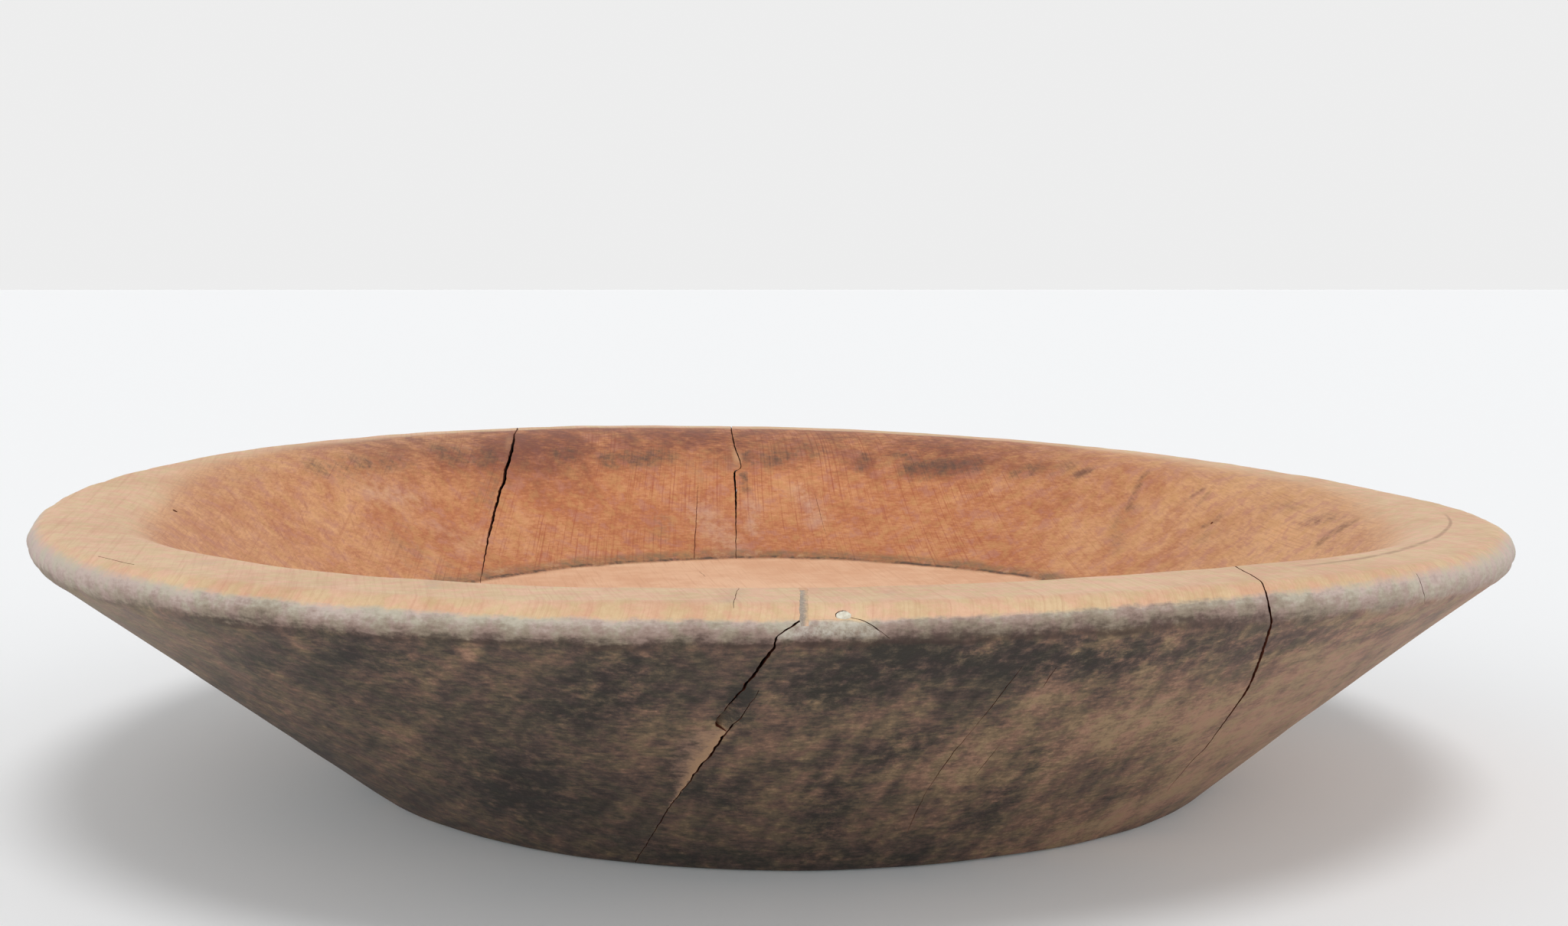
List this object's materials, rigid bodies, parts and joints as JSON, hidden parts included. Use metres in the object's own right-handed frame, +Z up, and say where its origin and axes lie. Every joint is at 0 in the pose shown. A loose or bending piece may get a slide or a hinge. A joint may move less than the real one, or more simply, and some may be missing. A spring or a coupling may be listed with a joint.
{
  "type": "wooden dough bowl",
  "caption": "Wide shallow wooden bowl carved from one block, with a broad flat rim, sloping sides, a flat foot, open drying splits and a small old repair in the rim.",
  "frame": {"origin": "middle of the flat foot, on the plane that the bowl stands on", "axes": "+Z up out of the bowl, +X to the right and -Y to the front as in the picture"},
  "size_m": [0.4612, 0.4946, 0.0908],
  "materials": {
    "old_wood": "bare dry hardwood, worn pale on the rim and floor, red-brown inside, dark and weathered outside",
    "worn_wood": "bare weathered wood, grey and smooth",
    "grey_putty": "matt hard putty",
    "pale_putty": "matt pale filler"
  },
  "bodies": {
    "root": {"bowl_body": "old_wood", "rim_sliver": "worn_wood", "crack_filler": "grey_putty", "chip_filler": "pale_putty"}
  },
  "joints": []
}
